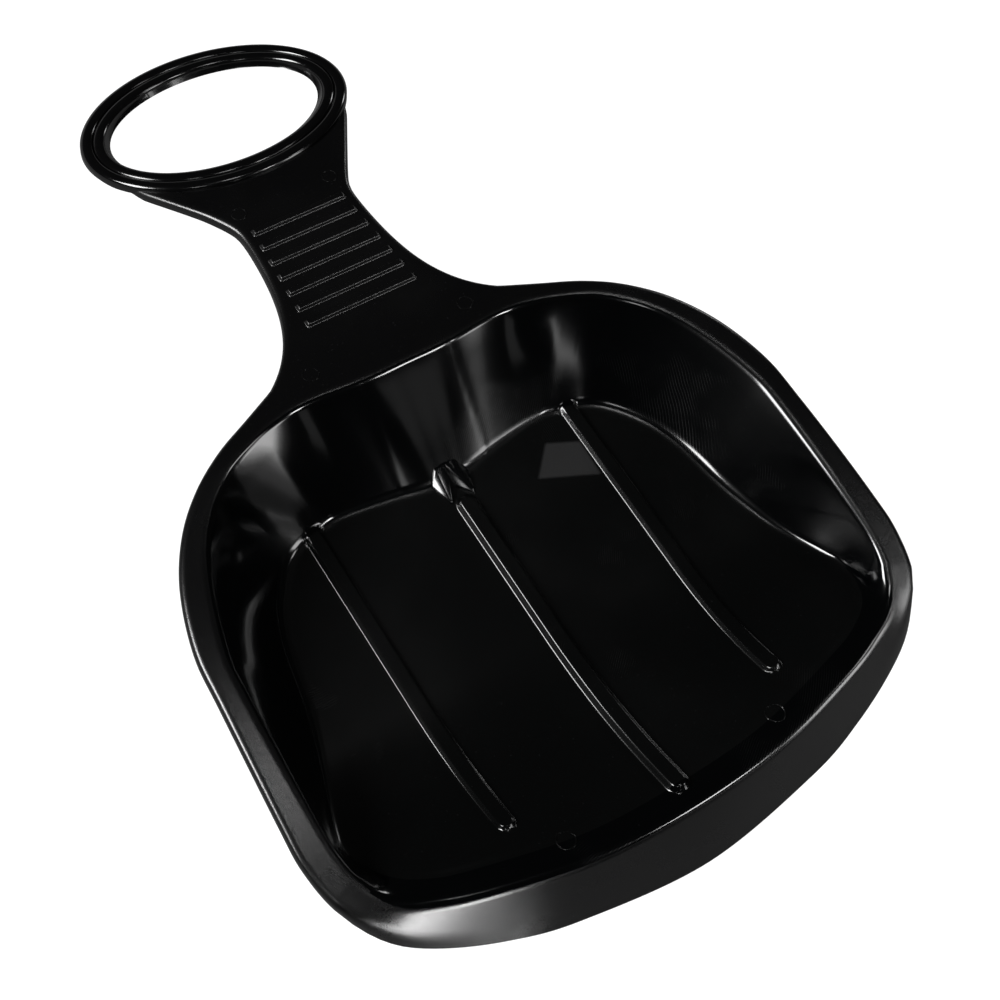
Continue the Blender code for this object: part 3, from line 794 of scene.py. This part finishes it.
bead = (BAND - HOLE_DRAFT) / 4
section = [(0.0, GRIP_DEPTH)]
for crown, first, last in (
    (HOLE_DRAFT + bead, BEAD_RISE, VALLEY_DEPTH), (HOLE_DRAFT + 3 * bead, VALLEY_DEPTH, BEAD_RISE),
):
    for step in range(BEAD_STEPS + 1):
        angle = math.pi * step / BEAD_STEPS
        depth = first if 2 * step < BEAD_STEPS else last
        section.append((crown - bead * math.cos(angle), depth * (1 - math.sin(angle))))
del section[BEAD_STEPS + 1]
section += [(BAND, EDGE_DEPTH), (BAND * 0.5, UNDER_DEPTH)]
ring_bm = bmesh.new()
line = [ring_bm.verts.new((1 + out / BAND, 0, depth)) for out, depth in section]
edges = [ring_bm.edges.new((a, b)) for a, b in zip(line, line[1:] + line[:1])]
bmesh.ops.spin(
    ring_bm, geom=[*line, *edges], cent=(0, 0, 0), axis=(0, 0, 1), dvec=(0, 0, 0),
    angle=2 * math.pi, steps=RING_TURNS, use_merge=True, use_duplicate=False,
)
bmesh.ops.remove_doubles(ring_bm, verts=ring_bm.verts, dist=1e-6)
for vert in ring_bm.verts:
    turn = math.atan2(vert.co.y, vert.co.x)
    share = math.hypot(vert.co.x, vert.co.y) - 1
    x, y = ring_point(turn, share)
    depth = vert.co.z
    if share > 0.999:
        depth = edge_depth(y)
    vert.co = Vector((x, y, ring_height(y) - depth))
bmesh.ops.recalc_face_normals(ring_bm, faces=ring_bm.faces)
for face in ring_bm.faces:
    face.smooth = True
ring_mesh = bpy.data.meshes.new("hand_ring")
ring_bm.to_mesh(ring_mesh)
ring_bm.free()
ring_mesh.set_sharp_from_angle(angle=SHARP_ANGLE)
hand_ring = object_from("hand_ring", ring_mesh)
print("hand ring:", len(ring_mesh.polygons), "faces")

# %% [markdown]
# ## Writing a finish
# A finish is a net of shader nodes. One small class stands for a value that changes over the surface, so that
# a mask can be written as plain arithmetic, and another holds one material and makes any node it needs.

# %% Small tools for finishes
DUST = (0.05, 0.05, 0.052, 1)


class Field:
    """A value that changes over the surface."""

    def __init__(self, finish, socket):
        self.finish = finish
        self.socket = socket

    def _math(self, operation, first, second):
        return self.finish.node("ShaderNodeMath", {"operation": operation}, {0: first, 1: second})

    def __add__(self, other):
        return self._math("ADD", self, other)

    def __mul__(self, other):
        return self._math("MULTIPLY", self, other)

    def __sub__(self, other):
        return self._math("SUBTRACT", self, other)

    def __rsub__(self, other):
        return self._math("SUBTRACT", other, self)

    __radd__ = __add__
    __rmul__ = __mul__


class Finish:
    """One material, with its Principled shader."""

    def __init__(self, name, colour, roughness):
        self.material = bpy.data.materials.new(name)
        self.material.use_nodes = True
        self.tree = self.material.node_tree
        self.shader = self.tree.nodes["Principled BSDF"]
        self.colour = (*colour, 1)
        self.set("Base Color", self.colour)
        self.set("Roughness", roughness)
        self.place = self.node("ShaderNodeTexCoord", {}, {}, "Object")

    def set(self, name, value):
        """Gives one of the shader's sockets a constant, or a value that changes over the surface."""
        if isinstance(value, Field):
            self.tree.links.new(value.socket, self.shader.inputs[name])
        else:
            self.shader.inputs[name].default_value = value

    def node(self, kind, settings, sockets, output=0):
        """Makes any node with these settings and socket values, and returns one of its outputs."""
        made = self.tree.nodes.new(kind)
        for name, value in settings.items():
            setattr(made, name, value)
        for name, value in sockets.items():
            if isinstance(value, Field):
                self.tree.links.new(value.socket, made.inputs[name])
            else:
                made.inputs[name].default_value = value
        return Field(self, made.outputs[output])

    def noise(self, scale, detail=3.0, stretch=(1, 1, 1), turn=(0, 0, 0)):
        """Soft cloudy noise from 0 to 1, drawn out along an axis by a stretch."""
        where = self.node(
            "ShaderNodeMapping", {}, {"Vector": self.place, "Scale": stretch, "Rotation": turn}
        )
        return self.node("ShaderNodeTexNoise", {}, {"Vector": where, "Scale": scale, "Detail": detail})

    def band(self, value, low, high):
        """0 up to the low value and 1 from the high one, with a soft rise between them."""
        return self.node(
            "ShaderNodeMapRange",
            {"interpolation_type": "SMOOTHSTEP"},
            {"Value": value, "From Min": low, "From Max": high},
        )

    def mix(self, share, first, second):
        """A colour between two colours."""
        return self.node("ShaderNodeMix", {"data_type": "RGBA"}, {0: share, 6: first, 7: second}, 2)

    def dusted(self, noise, low, high, share, dust):
        """The finish's colour with specks of dust where a noise is high."""
        return self.mix(self.band(noise, low, high) * share, self.colour, dust)

    def bump(self, height, strength, distance):
        """Tilts the surface by a height that changes over it."""
        normal = self.node("ShaderNodeBump", {}, {"Height": height, "Strength": strength, "Distance": distance})
        self.set("Normal", normal)


print("tools for finishes are ready")

# %% [markdown]
# ## Polished dish
# The walls of the dish are polished black plastic. Use has left swirls of hair-fine scratches that only
# show where they cross a reflection, so they change the roughness and tilt the surface by a breath.

# %% Finish of the walls
SWIRL_MIDDLE = (0.1, 0.02, -0.02)


def scratched(finish, gloss, worn, density):
    """A mask of swirled scratches on a polished finish, and the roughness that goes with it."""
    where = finish.node("ShaderNodeMapping", {}, {"Vector": finish.place, "Location": SWIRL_MIDDLE})
    swirl = finish.node(
        "ShaderNodeTexWave",
        {"wave_type": "RINGS", "rings_direction": "SPHERICAL"},
        {"Vector": where, "Scale": 330.0, "Distortion": 9.0, "Detail": 2.0, "Detail Scale": 0.12},
        "Fac",
    )
    lines = finish.band(swirl, 0.93, 1.0)
    patches = finish.band(finish.noise(26.0, 4.0), 0.62 - density, 0.78 - density)
    scratches = lines * patches
    haze = finish.band(finish.noise(11.0, 5.0), 0.35, 0.75)
    return scratches, haze * (worn - gloss) * 0.4 + gloss + scratches * (worn - gloss)


walls = Finish("polished_walls", (0.0003, 0.0004, 0.0005), 0.1)
marks, roughness = scratched(walls, 0.09, 0.3, 0.1)
walls.set("Roughness", roughness)
walls.set("Base Color", walls.dusted(walls.noise(900.0, 2.0), 0.72, 0.78, 0.05, DUST))
walls.bump(marks * 0.5 + walls.noise(420.0, 2.0) * 0.1, 0.04, 0.0005)
print("finish:", walls.material.name)

# %% [markdown]
# The floor was polished less than the walls and has been sat on, so it is hazier. A small patch of it, beside
# the right rib, was left matt in the mould. The patch has four straight sides, so its mask is the product of
# four borders, each the distance from one side drawn out to a soft edge.

# %% Finish of the floor and its matt patch
PATCH = ((0.0477, -0.0396), (0.0347, -0.0536), (0.0615, -0.0655), (0.0625, -0.0465))
PATCH_BLACK = (0.0045, 0.0045, 0.0048, 1)
floor = Finish("polished_floor", (0.0008, 0.0009, 0.0009), 0.2)
across_x, along_y = (floor.node("ShaderNodeSeparateXYZ", {}, {"Vector": floor.place}, axis) for axis in (0, 1))
borders = []
for first, last in zip(PATCH, PATCH[1:] + PATCH[:1]):
    way = (Vector(last) - Vector(first)).normalized()
    inward = (across_x - first[0]) * -way.y + (along_y - first[1]) * way.x
    borders.append(floor.band(inward, -0.0008, 0.0012))
patch = math.prod(borders)
grain = floor.noise(1500.0, 3.0)
marks, roughness = scratched(floor, 0.2, 0.4, 0.02)
floor.set("Roughness", roughness + patch * 0.3)
plain = floor.dusted(floor.noise(900.0, 2.0), 0.7, 0.78, 0.1, DUST)
floor.set("Base Color", floor.mix(patch * grain, plain, PATCH_BLACK))
floor.bump(marks * 0.5 + floor.noise(700.0, 3.0) * 0.3 + patch * grain, 0.06, 0.0005)
print("finish:", floor.material.name, "with a matt patch of", len(PATCH), "sides")

# %% [markdown]
# ## Satin rim and neck
# The flange and the neck came out of an etched mould. A fine grain breaks up every reflection, and broad
# patches are rubbed a little duller. The underside is plainer: it shows only the mould's even texture.

# %% Finish of the rim and the underside
FLECK = (0.05, 0.05, 0.055, 1)
rim = Finish("satin_rim", (0.001, 0.001, 0.0011), 0.42)
grain = rim.noise(2600.0, 2.0)
rub = rim.band(rim.noise(16.0, 5.0), 0.42, 0.72)
rim.set("Roughness", 0.22 + grain * 0.05 + rub * 0.06)
rim.set("Base Color", rim.dusted(rim.noise(1100.0, 2.0), 0.7, 0.76, 0.15, FLECK))
rim.bump(grain, 0.12, 0.0004)
under = Finish("moulded_underside", (0.006, 0.006, 0.0065), 0.4)
under.set("Roughness", 0.32 + under.noise(60.0, 4.0) * 0.2)
under.bump(under.noise(1500.0, 2.0), 0.08, 0.0004)
print("finishes:", rim.material.name, under.material.name)

# %% [markdown]
# ## Polished ring
# The hand ring is polished like the dish, but gloves wear it. Broad worn patches dull it a little, and fine
# hairs, drawn out along one direction by stretching the noise, run across the beads.

# %% Finish of the ring
grip = Finish("polished_ring", (0.0012, 0.0012, 0.0013), 0.1)
wear = grip.band(grip.noise(34.0, 5.0), 0.45, 0.75)
hairs = grip.band(grip.noise(120.0, 3.0, (1, 9, 1), (0, 0, 0.6)), 0.66, 0.72)
grip.set("Roughness", 0.11 + wear * 0.08 + hairs * 0.1)
grip.set("Base Color", grip.dusted(grip.noise(1000.0, 2.0), 0.72, 0.78, 0.2, DUST))
grip.bump(hairs * 0.4 + grip.noise(500.0, 2.0) * 0.2, 0.04, 0.0004)
print("finish:", grip.material.name)

# %% [markdown]
# ## Dressing the frame
# The moulding stands for three nodes of the imported model and the ring for the fourth. Nothing on this object
# moves, so every piece rides on the one body.

# %% Ride, replace and fill the slots
for finish in (floor, walls, rim, under):
    moulding.data.materials.append(finish.material)
hand_ring.data.materials.append(grip.material)
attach(moulding, "root")
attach(hand_ring, "root")
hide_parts("seat_pan", "rim_flange", "neck_plate")
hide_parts("handle_ring")

# %% [markdown]
# ## Floor, light and camera
# The slider lies on a pale studio floor. To the camera the floor and the surround glow white. To the plastic
# they are dim, as in a dark studio, so that it stays deep black and mirrors only the lights. The floor lies
# a fraction of a millimetre below the object, which keeps the two surfaces apart.

# %% Lay the studio floor
FLOOR_GAP, FLOOR_HALF = 0.0002, 6
DIM, WHITE = (0.07, 0.07, 0.07, 1), (1, 1, 1, 1)
stage_bm = bmesh.new()
bmesh.ops.create_grid(stage_bm, x_segments=1, y_segments=1, size=FLOOR_HALF)
bmesh.ops.translate(stage_bm, verts=stage_bm.verts, vec=(0, 0, cad_low.z - FLOOR_GAP))
stage_mesh = bpy.data.meshes.new("studio_floor")
stage_bm.to_mesh(stage_mesh)
stage_bm.free()
studio_floor = object_from("studio_floor", stage_mesh)
paper = Finish("white_paper", (0.12, 0.12, 0.12), 0.9)
seen = paper.node("ShaderNodeLightPath", {}, {}, "Is Camera Ray")
paper.set("Emission Color", paper.mix(seen, DIM, WHITE))
paper.set("Emission Strength", 1.0)
paper.set("Specular IOR Level", 0.1)
stage_mesh.materials.append(paper.material)
studio_floor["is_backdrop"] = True
print("studio floor at", round(cad_low.z - FLOOR_GAP, 4))

# %% [markdown]
# The surround follows the same plan. It is white where the camera looks straight at it and almost black for
# every other ray. The picture keeps the plain display curve, which leaves white white.

# %% Light the surround
SURROUND_DIM, SURROUND_BRIGHT = 0.015, 1.0
world = bpy.data.worlds.new("studio")
bpy.context.scene.world = world
world.use_nodes = True
sky = world.node_tree.nodes["Background"]
seen = world.node_tree.nodes.new("ShaderNodeLightPath")
strength = world.node_tree.nodes.new("ShaderNodeMapRange")
strength.inputs["To Min"].default_value = SURROUND_DIM
strength.inputs["To Max"].default_value = SURROUND_BRIGHT
world.node_tree.links.new(seen.outputs["Is Camera Ray"], strength.inputs["Value"])
world.node_tree.links.new(strength.outputs[0], sky.inputs["Strength"])
sky.inputs["Color"].default_value = WHITE
bpy.context.scene.view_settings.view_transform = "Standard"
print("surround:", world.name)

# %% [markdown]
# Polished black plastic shows hardly anything but its reflections, so each light is placed by the highlight
# it draws. It hangs in the direction that the surface mirrors, seen from a target on the object. A highlight
# with a soft border is a small panel laid over wider and weaker ones, because lights that overlap add up.
# The low panel stands close behind the skirt and shines in a narrow cone, which the rest doesn't mirror.
# Each table row ends with a panel's width and height in degrees and its brightness; a corner layer gives its
# width and its lower border instead, because all of those layers end at the same top.

# %% Place the lights
PANEL_AWAY = 1.6
CORNER_HEADING, CORNER_TOP = 134.5, 35
CORNER_LAYERS = ((10, 15, 3.2), (12, 13, 2.5), (13, 11.5, 1.8), (15, 10, 0.9), (17, 7, 0.4), (20, 0, 0.15))
STREAK_LAYERS = ((3, 9, 2.8), (5, 12, 0.5))
SINGLE_PANELS = {
    "centre_panel": ((0, -0.005, 0.03), 160, 26, 6, 8, 0.3),
    "front_edge": ((0, 0, 0.042), 150, 46, 8, 8, 28),
    "front_left_edge": ((-0.07, 0.005, 0.043), 117, 43, 8, 8, 7),
    "front_right_edge": ((0.085, -0.01, 0.043), -135, 50, 8, 6, 9),
    "left_lamp": ((0, -0.1, 0.005), -69, 37, 28, 20, 30),
    "top_lamp": ((-0.142, -0.125, 0.04), 85, 83, 7, 7, 15),
    "right_lamp": ((-0.1, -0.08, 0.03), 60, 12, 8, 8, 8),
}
LOW_PLACE, LOW_SPREAD = (-0.128, -0.333, 0.034), math.radians(40)


def add_panel(name, target, heading, rise, wide, tall, brightness):
    """A soft light seen from a target at a heading from the front and a rise, with its size, all in degrees."""
    heading, rise = math.radians(heading), math.radians(rise)
    toward = Vector((math.sin(heading) * math.cos(rise), math.cos(heading) * math.cos(rise), math.sin(rise)))
    light = bpy.data.lights.new(name, "AREA")
    light.shape = "RECTANGLE"
    light.size = 2 * PANEL_AWAY * math.tan(math.radians(wide) / 2)
    light.size_y = 2 * PANEL_AWAY * math.tan(math.radians(tall) / 2)
    light.energy = brightness * math.pi * light.size * light.size_y
    panel = bpy.data.objects.new(name, light)
    panel.location = Vector(target) + toward * PANEL_AWAY
    panel.rotation_euler = (-toward).to_track_quat("-Z", "Y").to_euler()
    panel.visible_camera = False
    bpy.context.scene.collection.objects.link(panel)
    return panel


for number, (wide, low, brightness) in enumerate(CORNER_LAYERS):
    rise, tall = (CORNER_TOP + low) / 2, CORNER_TOP - low
    add_panel(f"corner_panel_{number}", (-0.07, 0, 0.036), CORNER_HEADING, rise, wide, tall, brightness)
for number, (wide, tall, brightness) in enumerate(STREAK_LAYERS):
    add_panel(f"streak_panel_{number}", (0.071, -0.01, 0.026), 185, 20, wide, tall, brightness)
for name, settings in SINGLE_PANELS.items():
    add_panel(name, *settings)
low_panel = add_panel("low_panel", (-0.113, -0.2, 0.02), -172, 15, 2.3, 2.4, 1.7)
low_panel.location = LOW_PLACE
low_panel.data.spread = LOW_SPREAD

# %% [markdown]
# The camera looks down from behind the slider and to its left, with a lens a little longer than normal.

# %% Set the camera
LENS, SENSOR = 59.989, 36
CAMERA_PLACE = (-0.23284, -0.30258, 0.65622)
CAMERA_TURNS = (27.4883, -6.5259, -32.4946)
camera_data = bpy.data.cameras.new("camera")
camera_data.lens = LENS
camera_data.sensor_width = SENSOR
camera = bpy.data.objects.new("camera", camera_data)
camera.location = CAMERA_PLACE
camera.rotation_euler = [math.radians(turn) for turn in CAMERA_TURNS]
bpy.context.scene.collection.objects.link(camera)
bpy.context.scene.camera = camera
print("camera", round(camera.location.length, 3), "m away")

# %% [markdown]
# The skin has to stay inside the box of the imported model, so both boxes are written down side by side.

# %% Print the size
low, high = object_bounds()
print("visual box", [round(v, 4) for v in low], [round(v, 4) for v in high])
